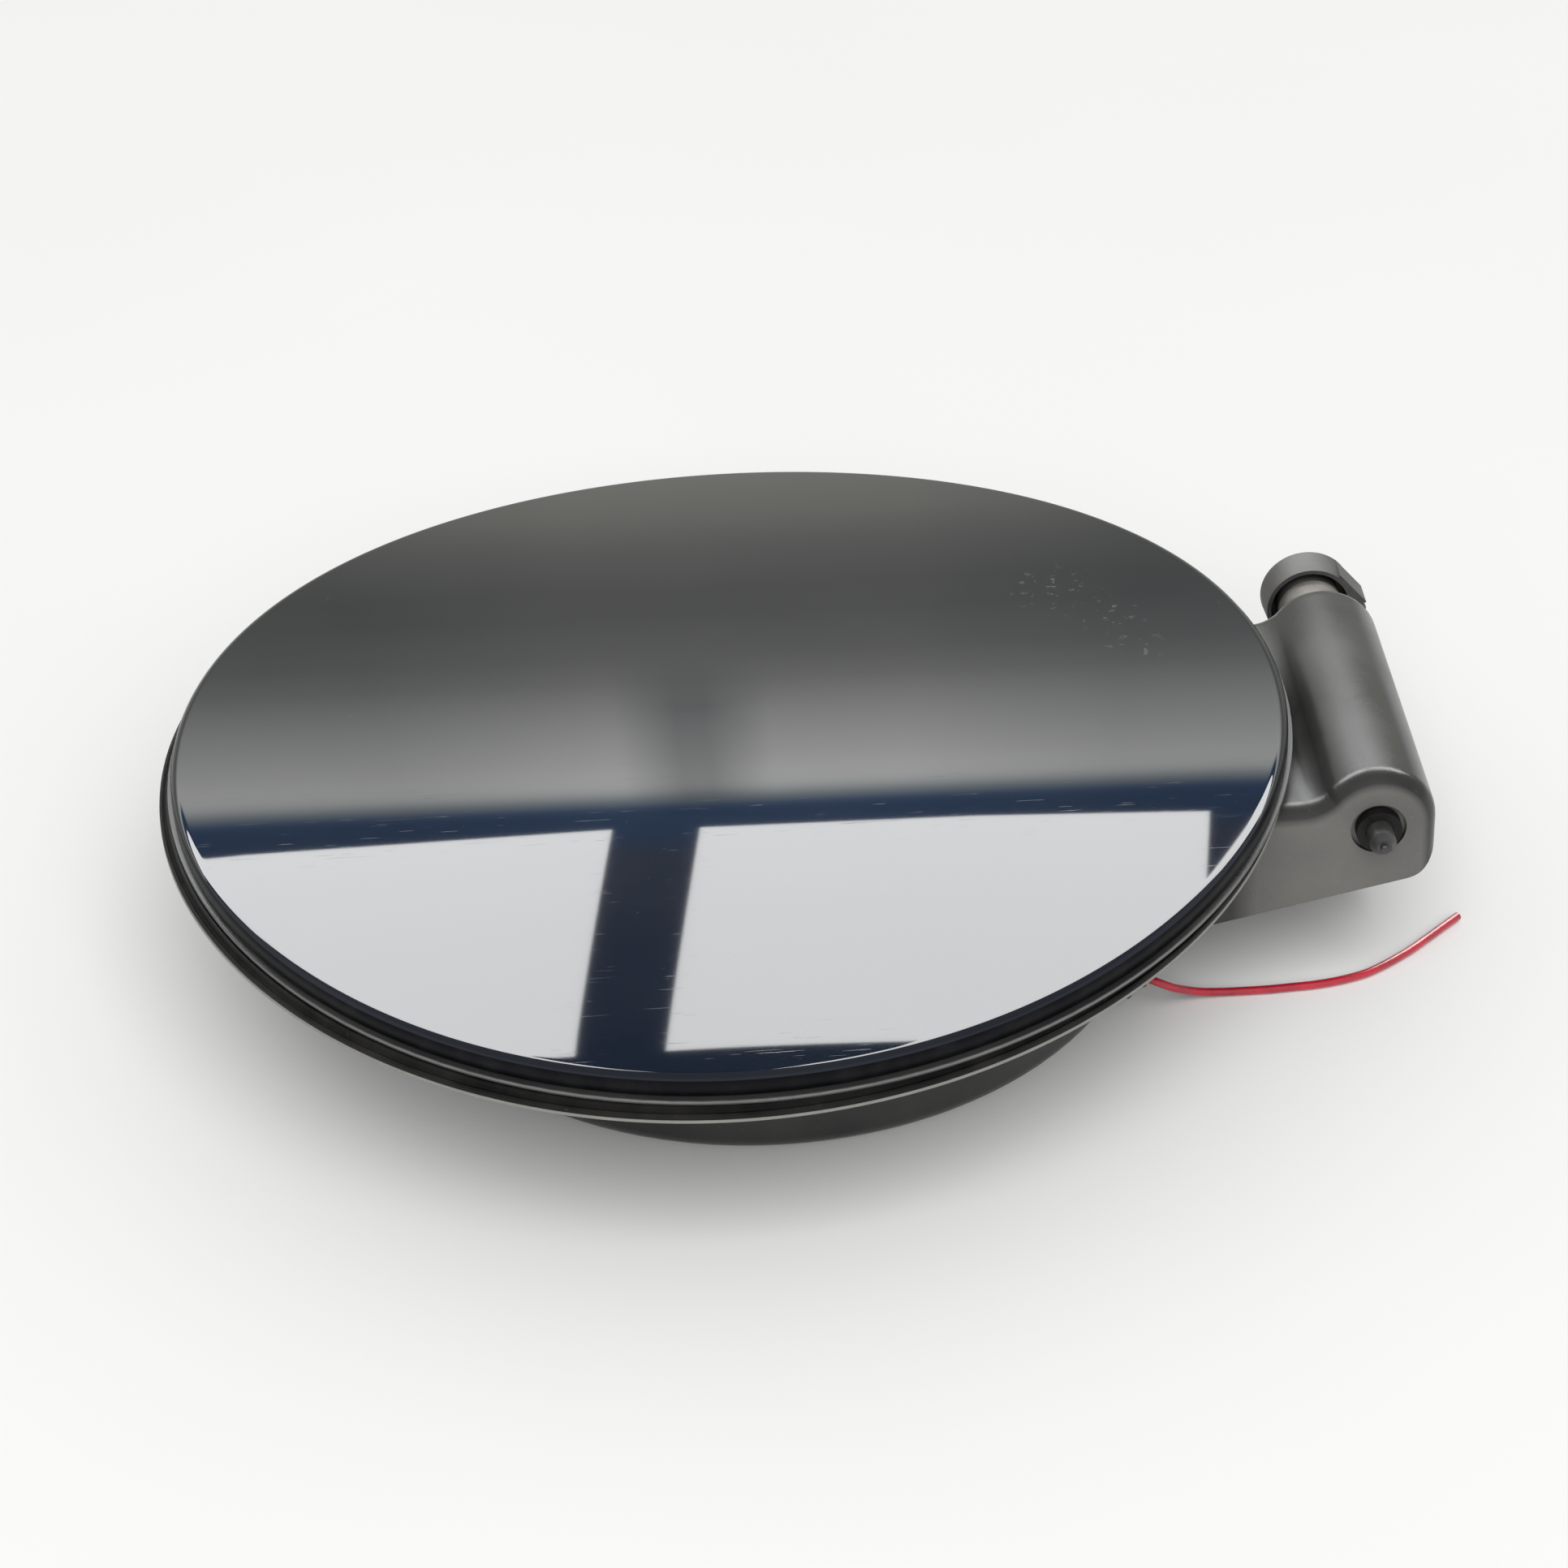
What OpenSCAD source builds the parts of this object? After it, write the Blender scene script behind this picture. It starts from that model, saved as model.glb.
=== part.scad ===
// Round car fuel door: a bowed, painted flap on a gooseneck hinge in its moulded pocket,
// with the rubber rim seal, the hinge pin, the lock and the door switch with its cut lead.
// It stands on the pocket's floor. The filler neck's axis is Z, and the flap is centred on it.

/* [Flap] */
// Diameter of the painted flap
flap_d = 180; // [165:1:185]
// Radius of the body side that the flap and the flange follow
bow_r = 770; // [600:1:1500]
// Thickness of the painted skin
skin_t = 1; // [0.8:0.1:1.2]
// Outer radius of the skin's rolled edge
rim_round = 2.6; // [2:0.1:2.8]
// Height of the skin's turned-down rim
rim_h = 3; // [2.9:0.1:3.3]
// Thickness of the carrier's plate
carrier_t = 2; // [1.5:0.1:2.4]
// How far the carrier's hem stands out past the skin
hem_reach = 0.7; // [0:0.1:1.2]
// Thickness of the carrier's hem
hem_t = 0.8; // [0.6:0.1:1.2]
// Depth of the carrier's ribs below its plate
rib_h = 2.6; // [1.5:0.1:2.8]
// Thickness of the carrier's ribs
rib_t = 1.6; // [1.2:0.1:2.4]

/* [Pocket] */
// Height of the flap's crown above the pocket's floor
pocket_h = 42.6; // [42:0.1:50]
// Wall of the moulded pocket
wall = 2.2; // [1.8:0.1:2.4]
// Depth of the flange's face below the body side
flange_depth = 6.9; // [6.6:0.1:7.6]
// How far the flange's seal stands out past the flap
flange_reach = 1.2; // [0.8:0.1:1.6]
// How far the rim seal's lip hangs over the flange
seal_lip = 3.7; // [2.5:0.1:4]
// Offset of the flange and its seal away from the hinge
rim_shift = 1.2; // [0:0.1:1.5]
// Radius of the bowl at its floor
bowl_r = 62; // [60:0.5:64]
// Radius of the bowl's mouth at the flange
mouth_r = 73.3; // [72:0.1:75]
// Offset of the bowl towards the hinge
bowl_shift = 4.9; // [4:0.1:6]
// Radius of the bowl's floor corner
floor_round = 4; // [3:0.5:6]
// Radius of the pocket's opening for the filler neck's collar
neck_hole_r = 32; // [30:0.5:33]
// Circle of the three fixing holes
fixing_pcd = 91; // [90:0.5:93]
// Diameter of the fixing holes
fixing_d = 5.5; // [4.5:0.1:6]
// Outer diameter of the drain spigot
drain_d = 8; // [6:0.5:9]
// Length of the drain spigot
drain_l = 12; // [8:0.5:16]

/* [Hinge] */
// Distance of the hinge axis from the neck's axis
pivot_x = 100.9; // [100:0.1:102]
// Depth of the hinge axis below the body side
pivot_depth = 10.6; // [10.4:0.1:11]
// Outer radius of the hinge housing over the pin
hump_r = 9.5; // [9.3:0.1:9.8]
// Width of the hinge housing
housing_w = 60; // [56:1:64]
// Radius of the housing's rounded end edges
end_round = 3.5; // [2.5:0.1:4]
// Diameter of the hinge pin
pin_d = 4.2; // [3.8:0.1:4.8]
// Width of the gooseneck
neck_w = 20; // [16:0.5:21]
// Thickness of the gooseneck
neck_t = 4.5; // [4:0.1:4.8]
// Inner radius of the gooseneck's bend
neck_in = 15; // [14.9:0.1:15.4]
// Wire diameter of the hinge spring
spring_wire = 1.4; // [1:0.1:1.6]
// Mean radius of the hinge spring's coil
spring_r = 3.5; // [3.3:0.1:3.8]
// Turns of the hinge spring
spring_turns = 6; // [4:1:7]
// Diameter of the pin's moulded head
knob_d = 15.5; // [14.5:0.5:17]
// Length of the pin's moulded head
knob_l = 6.6; // [6:0.1:9]
// Diameter of the bush that stands out between the housing and the head
stub_d = 11.2; // [9.5:0.1:11.4]
// Length of that bush outside the housing
stub_l = 7.6; // [5:0.1:9]

/* [Seals and stops] */
// Height of the rim seal on the flange
seal_h = 1.7; // [1.4:0.1:1.9]
// Radial width of the rim seal
seal_w = 7; // [6:0.1:7.2]
// Height of the bead on the rim seal
bead_h = 0.6; // [0.3:0.1:0.7]
// Bore radius of the neck collar
collar_r = 24; // [22:0.5:26]
// Length of the collar's straight sleeve
collar_l = 9; // [8:0.5:11]
// Wall of the neck collar
collar_t = 1.8; // [1.5:0.1:2.2]
// Diameter of the rubber bump stops
stop_d = 9; // [7:0.5:10]

/* [Lock] */
// Diameter of the lock pin
lock_d = 5.5; // [5:0.1:6]
// Depth of the lock pin's axis below the body side
lock_depth = 16.6; // [16:0.1:18]
// Length of the lock drive's housing
drive_l = 16; // [15:0.5:18]
// Width of the lock drive's housing
drive_w = 24; // [20:0.5:26]
// Height of the lock drive's housing
drive_h = 13; // [12:0.5:14]
// Thickness of the striker plate on the flap
striker_t = 3; // [2:0.1:4]

/* [Switch] */
// Diameter of the door switch's body
switch_d = 12; // [10:0.5:13]
// Diameter of the door switch's plunger
plunger_d = 5; // [4:0.1:6]
// Diameter of the switch's lead
lead_d = 1.4; // [1:0.1:2]

/* [Hidden] */

fit_gap = 0.05;           // running clearance on a radius
glue_gap = 0.15;          // adhesive line between the skin and its carrier
flap_r = flap_d / 2;
seal_r = flap_r + flange_reach;
flange_r = seal_r - seal_lip;
seat_r = seal_r + 0.15;   // the housing is cut back to this round the seal
pivot_z = pocket_h - pivot_depth;
end_y = housing_w / 2;
inner_y = end_y - wall;
cavity_r = hump_r - wall;
pin_r = pin_d / 2;
bush_r = 3.3;
neck_out = neck_in + neck_t;
well_r = neck_out + 0.8;
well_y = neck_w / 2 + 0.8;
well_x = neck_t / 2 + 2.25;
barrel_r = cavity_r - 1.1;
barrel_near = -inner_y + 0.5;
barrel_far = 6;
plate_top = skin_t + glue_gap;
plate_low = plate_top + carrier_t;
plate_r = flap_r - rim_round + 0.3;
hem_low = rim_h + glue_gap + hem_t;
corner_r = 6;             // lower outer corner of the hinge housing
corner_x = hump_r - corner_r;
corner_z = -4;
flange_z = pocket_h - flange_depth - wall;
base_x = -40;             // where the housing's sloping base runs into the bowl
base_slope = 12.4;        // degrees
fillet_r = 6;             // hollow between the flange and the hump
fillet_z = pivot_depth - flange_depth + fillet_r;
fillet_x = -sqrt(pow(hump_r + fillet_r - 0.05, 2) - pow(fillet_z, 2));
lock_z = pocket_h - lock_depth;
pad_x = bowl_shift - mouth_r - 0.1;
pad_w = 38;
striker_x = pad_x + 16.5;
rib_outer = flap_r - 24;     // middle radius of the carrier's outer ring rib
rib_inner = rib_outer - 32;
stud_at = flap_r - 15;       // radius of the four studs
striker_w = 14;
striker_top = pocket_h - plate_low - glue_gap;
striker_low = lock_z - lock_d / 2 - 4;
pin_back = drive_l - 4;     // rear end of the lock pin behind the pad
drive_low = flange_z - bow(drive_w / 2) - 0.4 - drive_h;
screw_y = drive_w / 2 + 4;
drain_root = bowl_r + 1.6;  // face of the boss that the drain spigot stands on
switch_at = bowl_r - 14;     // radius of the switch and its lead about the bowl
lead_turn = -27;          // degrees
lead_z = 5;
stop_turn = 150;          // degrees
stop_at = flap_r - 12;
holder_x = 16;
seg = 96;
big = 300;
fine = 720;

// Drop of the body side at a distance y from its crown
function bow(y) = bow_r - sqrt(bow_r * bow_r - y * y);
function unit(v) = v / norm(v);

// Everything below the body side at a depth
module under_bow(depth) {
    translate([-big / 2, 0, pocket_h - bow_r])
        rotate([0, 90, 0]) cylinder(r = bow_r - depth, h = big, $fn = fine);
}

// The layer between two depths, cut to a flat outline
module bowed_plate(top, low) {
    difference() {
        intersection() {
            linear_extrude(pocket_h) children();
            under_bow(top);
        }
        under_bow(low);
    }
}

// A section about the hinge axis, X out and Y up, carried along the axis
module along_pin(y0, y1) {
    translate([pivot_x, y1, pivot_z]) rotate([90, 0, 0]) linear_extrude(y1 - y0) children();
}

// A round piece on the hinge axis: its own Z runs along +Y
module on_pin(y) {
    translate([pivot_x, y, pivot_z]) rotate([-90, 0, 0]) children();
}

// Places children on a radius about the bowl's axis
module round_bowl(r, turn) {
    translate([bowl_shift, 0, 0]) rotate(turn) translate([r, 0, 0]) children();
}

module ring(outer, inner) {
    difference() {
        circle(outer, $fn = 180);
        circle(inner, $fn = 180);
    }
}

// Faces that join rings of points, ring after ring; each ring has n points
function strip(rings, n) = [for (k = [0:rings - 2], i = [0:n - 1])
    let (a = k * n + i, b = k * n + (i + 1) % n) each [[a, b, b + n], [a, b + n, a + n]]];

// A dished sheet that follows the body side: rings of [radius, depth], from crown to crown
module bowed_shell(rings) {
    n = len(rings);
    pts = [for (q = rings, i = [0:seg - 1]) let (a = 360 * i / seg, y = q[0] * sin(a))
        [q[0] * cos(a), y, pocket_h - q[1] - bow(y)]];
    top = n * seg;
    low = top + 1;
    polyhedron(concat(pts, [[0, 0, pocket_h - rings[0][1]], [0, 0, pocket_h - rings[n - 1][1]]]),
        concat(strip(n, seg),
            [for (i = [0:seg - 1]) [top, (i + 1) % seg, i]],
            [for (i = [0:seg - 1]) [low, (n - 1) * seg + i, (n - 1) * seg + (i + 1) % seg]]));
}

// A closed ring round the flange that follows the body side: its section is a loop of [radius, depth]
module bowed_ring(section) {
    n = len(section);
    pts = [for (q = concat(section, [section[0]]), i = [0:seg - 1])
        let (a = 360 * i / seg, y = q[0] * sin(a)) [q[0] * cos(a) - rim_shift, y, pocket_h - q[1] - bow(y)]];
    faces = [for (f = strip(n + 1, seg)) [for (v = f) v >= n * seg ? v - n * seg : v]];
    polyhedron([for (i = [0:n * seg - 1]) pts[i]], faces);
}

// A round wire through points, with a flat end at each end
module wire(path, d, sides, side_way) {
    n = len(path);
    pts = [for (k = [0:n - 1])
        let (t = unit(path[min(k + 1, n - 1)] - path[max(k - 1, 0)]),
            u = unit(cross(t, side_way)), v = cross(t, u))
        for (i = [0:sides - 1]) let (a = 360 * i / sides)
            path[k] + d / 2 * (cos(a) * u + sin(a) * v)];
    polyhedron(pts, concat(strip(n, sides),
        [[for (i = [0:sides - 1]) sides - 1 - i]],
        [[for (i = [0:sides - 1]) (n - 1) * sides + i]]));
}

// Half section of a cylinder with rounded ends, for a turn about its axis
module rounded_half(r, w, c) {
    intersection() {
        union() {
            translate([0, -w / 2 + c]) square([r, w - 2 * c]);
            translate([0, -w / 2]) square([r - c, w]);
            for (s = [-1, 1]) translate([r - c, s * (w / 2 - c)]) circle(c, $fn = 64);
        }
        translate([0, -w]) square([2 * r, 2 * w]);
    }
}

module rounded_drum(r, w, c) {
    rotate([90, 0, 0]) rotate_extrude($fn = 120) rounded_half(r, w, c);
}

// Pocket

module bowl_section(inset) {
    r = bowl_r - inset;
    f = floor_round - inset;
    flare_z = pocket_h - flange_depth - wall - 9;
    translate([0, inset]) {
        square([r - f, f]);
        intersection() {
            translate([r - f, f]) circle(f, $fn = 64);
            square([r, f]);
        }
    }
    polygon([[0, inset + f], [r, inset + f], [r + 3, flare_z], [mouth_r - inset, flare_z + 9],
        [mouth_r - inset, pocket_h], [0, pocket_h]]);
}

module bowl(inset) {
    translate([bowl_shift, 0, 0]) rotate_extrude($fn = 180) bowl_section(inset);
}

// Section of the housing below its hump, seen along the pin
module housing_section() {
    low = corner_z - corner_r * cos(base_slope);
    foot_x = corner_x + corner_r * sin(base_slope);
    shoulder_z = fillet_z - fillet_r - end_round;
    polygon([[base_x, shoulder_z], [fillet_x, shoulder_z], [0, 0], [hump_r, 0],
        [hump_r, corner_z], [corner_x, corner_z], [foot_x, low],
        [base_x, low - (foot_x - base_x) * tan(base_slope)]]);
    translate([corner_x, corner_z]) circle(corner_r, $fn = 120);
}

// Plan of the housing, with its rounded outer corners
module housing_plan() {
    translate([base_x - 1, -end_y]) square([hump_r - end_round - base_x + 1, housing_w]);
    translate([0, -end_y + end_round]) square([hump_r, housing_w - 2 * end_round]);
    for (s = [-1, 1]) translate([hump_r - end_round, s * (end_y - end_round)])
        circle(end_round, $fn = 64);
}

// Hollow flank between the flange and the hump, with the same rounded ends
module housing_flank() {
    difference() {
        rotate([90, 0, 0]) translate([0, 0, -end_y]) linear_extrude(housing_w)
            polygon([[base_x, -1], [base_x, fillet_z], [fillet_x, fillet_z], [0, 0], [0, -1]]);
        translate([fillet_x, 0, fillet_z]) rotate([90, 0, 0]) rotate_extrude($fn = 120) difference() {
            translate([0, -end_y - 1]) square([fillet_r + end_round, housing_w + 2]);
            for (s = [-1, 1]) translate([fillet_r + end_round, s * (end_y - end_round)])
                circle(end_round, $fn = 64);
            translate([fillet_r, -end_y + end_round]) square([end_round, housing_w - 2 * end_round]);
        }
        translate([base_x - 1, -end_y - 1, fillet_z - fillet_r])
            cube([fillet_x - base_x + 1, housing_w + 2, big]);
        translate([base_x - 1, 0, fillet_z - fillet_r]) for (s = [-1, 1]) rotate([90, 0, 90])
            linear_extrude(fillet_x - base_x + 1) difference() {
                translate([s * (end_y - end_round / 2) - end_round / 2, -end_round])
                    square([end_round + 0.01, end_round + 0.01]);
                translate([s * (end_y - end_round), -end_round]) circle(end_round, $fn = 64);
            }
    }
}

module housing() {
    intersection() {
        along_pin(-end_y, end_y) housing_section();
        translate([pivot_x, 0, 0]) linear_extrude(pivot_z) housing_plan();
    }
    translate([pivot_x, 0, pivot_z]) {
        rounded_drum(hump_r, housing_w, end_round);
        housing_flank();
    }
    // belly that the gooseneck swings in
    along_pin(-well_y - wall, well_y + wall) intersection() {
        circle(well_r + wall, $fn = 180);
        translate([-big, -big]) square([big + well_x + wall, big]);
    }
}

// Space for the hinge inside the housing
module housing_cavity() {
    low = corner_z - corner_r * cos(base_slope);
    foot_x = corner_x + corner_r * sin(base_slope);
    lift = wall / cos(base_slope);
    roof = pivot_depth - flange_depth - wall;
    along_pin(-inner_y, inner_y) {
        circle(cavity_r, $fn = 120);
        translate([corner_x, corner_z]) circle(corner_r - wall, $fn = 64);
        polygon([[base_x, roof], [-cavity_r + 0.3, roof], [0, 0], [cavity_r, 0], [cavity_r, corner_z],
            [foot_x, low + wall],
            [base_x, low + lift - (foot_x - base_x) * tan(base_slope)]]);
    }
    along_pin(-well_y, well_y) intersection() {
        circle(well_r, $fn = 180);
        translate([-big, -big]) square([big + well_x, big + roof]);
    }
}

// Slot in the flange and the mouth's edge that the gooseneck rises through
module neck_slot() {
    x0 = pivot_x - neck_out - 24;
    translate([x0, -well_y - 0.5, pivot_z]) cube([pivot_x - neck_in + 1.4 - x0, 2 * well_y + 1, 30]);
}

// Two cores up into the pad from below, either side of a rib
module pad_cores() {
    l = striker_x - striker_t / 2 - 1.5 - pad_x - 2 * wall;
    for (y = [-pad_w / 2 + wall, wall / 2]) translate([pad_x + wall, y, lock_z - 15])
        cube([l, pad_w / 2 - 1.5 * wall, 15 - lock_d / 2 - 4.5]);
}

// Room for the striker in front of the lock pin
module striker_recess() {
    x0 = striker_x - striker_t / 2 - 1.5;
    translate([x0, -striker_w / 2 - 1.5, striker_low - 2])
        cube([12, striker_w + 3, flange_z - striker_low + 2.5]);
}

module pocket() color([0.09, 0.09, 0.095]) difference() {
    union() {
        intersection() {
            union() {
                bowl(0);
                intersection() {
                    translate([pad_x, -pad_w / 2, lock_z - 14])
                        cube([mouth_r - bowl_r + 5, pad_w, flange_z - lock_z + 14]);
                    under_bow(flange_depth);
                }
            }
            under_bow(flange_depth + 0.5);
        }
        bowed_plate(flange_depth, flange_depth + wall) translate([-rim_shift, 0]) circle(flange_r, $fn = 180);
        difference() {
            housing();
            difference() {
                translate([-rim_shift, 0, 0]) cylinder(r = seat_r, h = big, $fn = 180);
                under_bow(flange_depth);
            }
        }
        // collar of the opening for the neck
        cylinder(r = neck_hole_r + 4, h = 5, $fn = 120);
        // boss round the lead's grommet
        round_bowl(bowl_r - 3, lead_turn) translate([0, 0, lead_z + 1]) rotate([0, 90, 0])
            cylinder(r = 4.5, h = 4.5, $fn = 48);
        drain_spigot(drain_d / 2, drain_l);
        drain_spigot(drain_d / 2 + 1.2, 0);
    }
    bowl(wall);
    housing_cavity();
    neck_slot();
    striker_recess();
    pad_cores();
    translate([0, 0, -1]) cylinder(r = neck_hole_r, h = big, $fn = 120);
    for (turn = [0, 120, 240]) round_bowl(fixing_pcd / 2, turn)
        translate([0, 0, -1]) cylinder(d = fixing_d, h = wall + 2, $fn = 32);
    drain_spigot(drain_d / 2 - 1.4, drain_l + 1);
    on_pin(-end_y - 1) {
        cylinder(r = bush_r, h = housing_w + 2, $fn = 64);
        cylinder(r = 4.4, h = 2, $fn = 64);
    }
    round_bowl(bowl_r - 8, lead_turn) translate([0, 0, lead_z + 1]) rotate([0, 90, 0])
        cylinder(r = 2.6, h = 14, $fn = 32);
    translate([pad_x - 1, 0, lock_z]) rotate([0, 90, 0]) cylinder(r = lock_d / 2 + 2, h = 20, $fn = 48);
    for (s = [-1, 1]) {
        translate([pad_x - 1, s * screw_y, lock_z]) rotate([0, 90, 0]) cylinder(r = 1.5, h = 9, $fn = 24);
        stop_place(s) translate([0, 0, -flange_depth - wall - 1]) cylinder(r = 2.5, h = wall + 2, $fn = 32);
        stop_place(s) translate([0, 0, -flange_depth - 0.4]) cylinder(d = stop_d + 2.4, h = 2, $fn = 48);
    }
}

// A round bar through the bowl's wall, as far out as its length past the boss
module drain_spigot(r, length) {
    round_bowl(bowl_r - 5, 150) translate([0, 0, 6.2]) rotate([0, 90, 0])
        cylinder(r = r, h = drain_root - bowl_r + 5 + length, $fn = 48);
}

module stop_place(s) {
    y = stop_at * sin(s * stop_turn);
    translate([stop_at * cos(stop_turn), y, pocket_h - bow(y)]) children();
}

// Seals and stops

// The seal gives way to the gooseneck on its inner side
module rim_seal() color([0.13, 0.13, 0.13]) {
    low = flange_depth - 0.02;
    top = flange_depth - seal_h;
    in = seal_r - seal_w;
    difference() {
        bowed_ring([[in, low], [in, top + 0.6], [in + 0.6, top], [seal_r - 2.7, top],
            [seal_r - 2.3, top - bead_h * 0.8], [seal_r - 1.9, top - bead_h],
            [seal_r - 1.5, top - bead_h * 0.7], [seal_r - 1.1, top + 0.1], [seal_r - 0.4, top + 0.15],
            [seal_r, top + 0.6], [seal_r - 0.1, low - 0.2], [seal_r - 0.4, low]]);
        neck_slot();
    }
}

// Rubber collar: a sleeve for the filler neck, a fold, and a lip in the floor's opening
module neck_collar() color([0.11, 0.11, 0.11]) rotate_extrude($fn = 120) {
    t = collar_t;
    top = collar_l + 4;
    out = neck_hole_r - 0.05;
    mid = (collar_r + out) / 2;
    r1 = (mid - collar_r) / 2;
    translate([collar_r, 0]) square([t, collar_l]);
    // first fold over the sleeve
    translate([mid, collar_l]) intersection() {
        difference() {
            circle(mid - collar_r, $fn = 64);
            circle(mid - collar_r - t, $fn = 64);
        }
        translate([-mid, 0]) square([2 * mid, top]);
    }
    translate([out - t, 0.2]) square([t, collar_l - 0.2]);
    // groove that grips the floor's collar
    translate([out - 0.01, 5.1]) square([2.6, 1.6]);
}

// Steel ring that holds the collar's lip down
module collar_ring() color([0.55, 0.56, 0.58]) rotate_extrude($fn = 120)
    translate([neck_hole_r + 0.05, 6.8]) {
        square([2.6, 0.9]);
        square([0.9, 2.4]);
    }

module bump_stop(s) color([0.12, 0.12, 0.12]) stop_place(s) {
    top = -plate_low - 0.5;
    low = -flange_depth - 0.35;
    translate([0, 0, low]) cylinder(d = stop_d + 2, h = 1.2, $fn = 48);
    translate([0, 0, low]) cylinder(d = stop_d, h = top - low - 0.7, $fn = 48);
    translate([0, 0, top - 0.7]) cylinder(d1 = stop_d, d2 = stop_d - 1.4, h = 0.7, $fn = 48);
    translate([0, 0, low - wall - 1.6]) cylinder(r = 2.45, h = wall + 1.7, $fn = 32);
    translate([0, 0, low - wall - 1.9]) cylinder(r1 = 2.2, r2 = 3.3, h = 1.9, $fn = 32);
}
module bump_stop_near() bump_stop(-1);
module bump_stop_far() bump_stop(1);

// Hinge

module near_bush() color([0.14, 0.14, 0.145]) on_pin(-end_y) difference() {
    union() {
        translate([0, 0, -0.9]) cylinder(r = 3.6, h = 1.85, $fn = 64);
        cylinder(r = bush_r - 0.02, h = wall, $fn = 64);
    }
    translate([0, 0, -3]) cylinder(r = pin_r + fit_gap, h = wall + 4, $fn = 64);
}

module far_bush() color([0.42, 0.4, 0.36]) on_pin(end_y) difference() {
    union() {
        cylinder(d = stub_d, h = stub_l, $fn = 64);
        translate([0, 0, -wall]) cylinder(r = bush_r - 0.02, h = wall, $fn = 64);
    }
    translate([0, 0, -wall - 1]) cylinder(r = pin_r + fit_gap, h = stub_l + wall + 2, $fn = 64);
}

module hinge_pin() color([0.35, 0.35, 0.36]) on_pin(-end_y - 5.2) {
    cylinder(r1 = pin_r - 0.9, r2 = pin_r, h = 1.1, $fn = 64);
    translate([0, 0, 1.1]) cylinder(r = pin_r, h = housing_w + stub_l + 7.5, $fn = 64);
    translate([0, 0, -0.9]) cylinder(r = 0.6, h = 1, $fn = 32);
}

// Moulded head: a cup over the bush with a flag to one side
module pin_head() color([0.2, 0.2, 0.2]) {
    y0 = end_y + stub_l + 0.3;
    r = knob_d / 2;
    on_pin(y0) difference() {
        union() {
            cylinder(r1 = r - 0.35, r2 = r, h = knob_l - 0.8, $fn = 96);
            translate([0, 0, knob_l - 0.8]) cylinder(r1 = r, r2 = r - 0.8, h = 0.8, $fn = 96);
            translate([0, 0, 0.4]) linear_extrude(knob_l - 1.2) polygon([[0, 0], [r * 0.66, -r * 0.76],
                [r * 1.26, -r * 0.05], [r * 1.26, r * 0.22], [r * 0.9, r * 0.44]]);
        }
        translate([0, 0, -1]) difference() {
            cylinder(r = r - 1.05, h = 5, $fn = 96);
            cylinder(r = stub_d / 2 - 0.1, h = 5, $fn = 96);
        }
        translate([0, 0, -1]) cylinder(r = pin_r, h = 5.5, $fn = 64);
        translate([r * 1.2, -r * 0.02, -1]) cube([2, 0.8, knob_l + 2]);
    }
}

// Coil about the pin, with one leg behind the gooseneck and one under the roof
module hinge_spring() color([0.5, 0.5, 0.5]) {
    per_turn = 14;
    pitch = spring_wire + 0.55;
    y0 = barrel_far + 1.6 + spring_wire / 2;
    steps = spring_turns * per_turn + 4;
    coil = [for (i = [0:steps]) let (a = 360 * i / per_turn)
        [pivot_x + spring_r * cos(a), y0 + pitch * i / per_turn, pivot_z + spring_r * sin(a)]];
    leg_x = pivot_x + neck_t / 2 + spring_wire / 2 + 0.3;
    last = coil[steps];
    wire(concat([[leg_x, y0, pivot_z - neck_in + 2.6], [leg_x + 0.1, y0, pivot_z - 5]], coil,
        [[last[0] - 3.6, last[1], last[2] - 1.2]]), spring_wire, 8, [0, 1, 0]);
}

// Lock

module lock_drive() color([0.16, 0.16, 0.165]) difference() {
    union() {
        translate([pad_x - drive_l, -drive_w / 2, drive_low]) cube([drive_l, drive_w, drive_h]);
        translate([pad_x - 2.5, -screw_y - 4, lock_z - 5]) cube([2.5, 2 * screw_y + 8, 10]);
        // guide that carries the gasket and the pin
        translate([pad_x - 0.01, 0, lock_z]) rotate([0, 90, 0])
            cylinder(r = lock_d / 2 + 1.1, h = 8, $fn = 48);
        // socket for the loom's plug
        translate([pad_x - drive_l + 4, -7, drive_low - 6]) cube([10, 14, 7]);
    }
    translate([pad_x - pin_back - 1.6, 0, lock_z]) rotate([0, 90, 0])
        cylinder(r = lock_d / 2 + fit_gap, h = pin_back + 12, $fn = 48);
    translate([pad_x - drive_l + 5.2, -5.8, drive_low - 7]) cube([7.6, 11.6, 7]);
    for (s = [-1, 1]) translate([pad_x - 4, s * screw_y, lock_z]) rotate([0, 90, 0])
        cylinder(r = 2.1, h = 6, $fn = 32);
    // rebate for the cover
    translate([pad_x - drive_l - 1, -drive_w / 2 + 1.2, drive_low + 1.2])
        cube([2.2, drive_w - 2.4, drive_h - 2.4]);
}

module lock_cover() color([0.13, 0.13, 0.13]) {
    translate([pad_x - drive_l, -drive_w / 2 + 1.25, drive_low + 1.25])
        cube([1.2, drive_w - 2.5, drive_h - 2.5]);
    for (y = [-6, 0, 6]) translate([pad_x - drive_l - 0.5, y - 0.8, drive_low + 3])
        cube([0.6, 1.6, drive_h - 6]);
}

module lock_pin() color([0.62, 0.63, 0.65]) translate([pad_x - pin_back, 0, lock_z]) rotate([0, 90, 0]) {
    l = striker_x - striker_t / 2 - 2.5 - pad_x + pin_back;
    cylinder(d = lock_d, h = l - 1.6, $fn = 48);
    translate([0, 0, l - 1.6]) cylinder(d1 = lock_d, d2 = lock_d - 2.2, h = 1.6, $fn = 48);
}

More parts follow.
